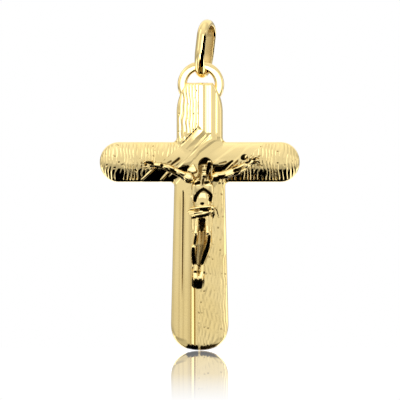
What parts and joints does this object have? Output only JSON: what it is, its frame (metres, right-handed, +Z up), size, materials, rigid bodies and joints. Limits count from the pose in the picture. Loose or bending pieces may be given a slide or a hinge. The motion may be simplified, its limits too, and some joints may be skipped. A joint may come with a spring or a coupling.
{
  "type": "crucifix pendant",
  "caption": "Gold crucifix pendant: domed cross with bark texture and a pleated ribbon in relief, cast figure on its face, soldered round eyelet and an oval bail.",
  "frame": {"origin": "the chain's seat: the middle of the inside of the bail's top", "axes": "+X to the right of a viewer who faces the figure, +Z up the hanging cross, and the cross's face looks along -Y"},
  "size_m": [0.023, 0.0046, 0.0381],
  "materials": {
    "cross_gold": "585 yellow gold, bark texture beside polished ribbon pleats",
    "figure_gold": "585 yellow gold, cast and high polished",
    "bail_gold": "585 yellow gold, high polished"
  },
  "bodies": {
    "bail": {"bail": "bail_gold"},
    "cross": {"cross_with_eyelet": "cross_gold", "figure": "figure_gold"}
  },
  "joints": [
    {"name": "cross_swing", "type": "hinge", "parent": "bail", "child": "cross", "pos_m": [-0.00078, 0, -0.00681], "axis": [0, 1, 0], "range_deg": [-40, 40]}
  ]
}
